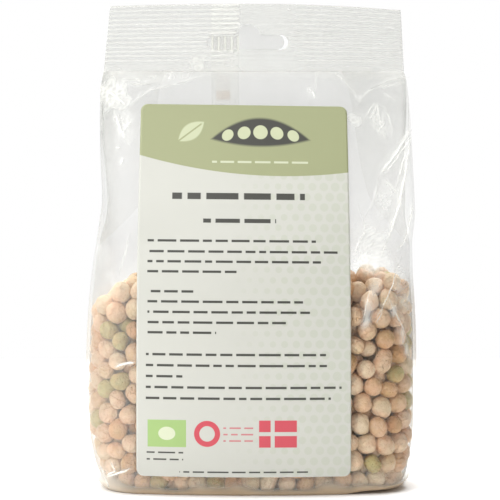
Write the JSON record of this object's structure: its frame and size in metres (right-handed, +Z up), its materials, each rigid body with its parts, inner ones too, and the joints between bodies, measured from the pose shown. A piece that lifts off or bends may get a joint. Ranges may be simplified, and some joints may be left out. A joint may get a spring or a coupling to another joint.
{
  "type": "bag of dried peas",
  "caption": "Shut clear film bag of dried peas, standing, side-gusseted, with a paper label and a ribbed header with a hang slot.",
  "frame": {"origin": "middle of the base's length and depth, on the surface that the bag stands on", "axes": "+X to the right seen from the front, +Y from the label to the back seam, +Z up to the header"},
  "size_m": [0.1305, 0.0617, 0.191],
  "materials": {
    "peas": "dried peas, matt, pale cream to tan with a few green ones",
    "film": "thin clear glossy film, milky in its folds and seals",
    "label_paper": "smooth pale paper with printed fields of colour"
  },
  "bodies": {
    "root": {"bag": "peas", "label": "label_paper"}
  },
  "joints": []
}
